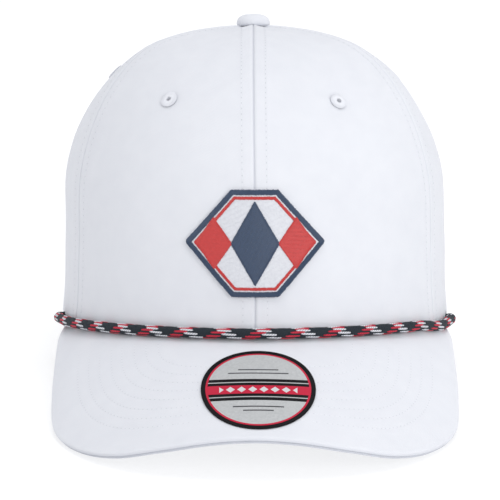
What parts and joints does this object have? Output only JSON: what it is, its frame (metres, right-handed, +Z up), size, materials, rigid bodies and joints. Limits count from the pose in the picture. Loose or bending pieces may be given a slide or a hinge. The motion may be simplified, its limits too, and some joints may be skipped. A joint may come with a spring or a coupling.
{
  "type": "baseball cap",
  "caption": "White panelled cap with a curved peak, a rope along the front, a cloth button, sewn eyelets and an arched back opening with a snap strap.",
  "frame": {"origin": "on the surface that the cap rests on, under the middle of its bounding box", "axes": "+Z up, the peak points to -Y, +X is the wearer's left; the plane of the rim leans back by 4.5 degrees"},
  "size_m": [0.1732, 0.283, 0.1454],
  "materials": {
    "crown_cloth": "matte white twill",
    "eyelet_thread": "white buttonhole stitching",
    "rope_cord": "dark navy braid with red and white tracer strands",
    "emblem_thread": "satin stitch embroidery in navy, red and white",
    "sticker_film": "smooth printed film with a silver face",
    "strap_plastic": "moulded white strap",
    "sweatband_cloth": "plain woven band"
  },
  "bodies": {
    "root": {"crown_panel_front_left": "crown_cloth", "crown_panel_front_right": "crown_cloth", "crown_panel_side_left": "crown_cloth", "crown_panel_side_right": "crown_cloth", "crown_panel_back_left": "crown_cloth", "crown_panel_back_right": "crown_cloth", "eyelet_front_left": "eyelet_thread", "eyelet_front_right": "eyelet_thread", "eyelet_side_left": "eyelet_thread", "eyelet_side_right": "eyelet_thread", "eyelet_back_left": "eyelet_thread", "eyelet_back_right": "eyelet_thread", "button": "crown_cloth", "peak_upper": "crown_cloth", "peak_lower": "crown_cloth", "arch_binding": "crown_cloth", "rope": "rope_cord", "closure_strap": "strap_plastic", "sweatband": "sweatband_cloth", "emblem": "emblem_thread", "size_sticker": "sticker_film"}
  },
  "joints": []
}
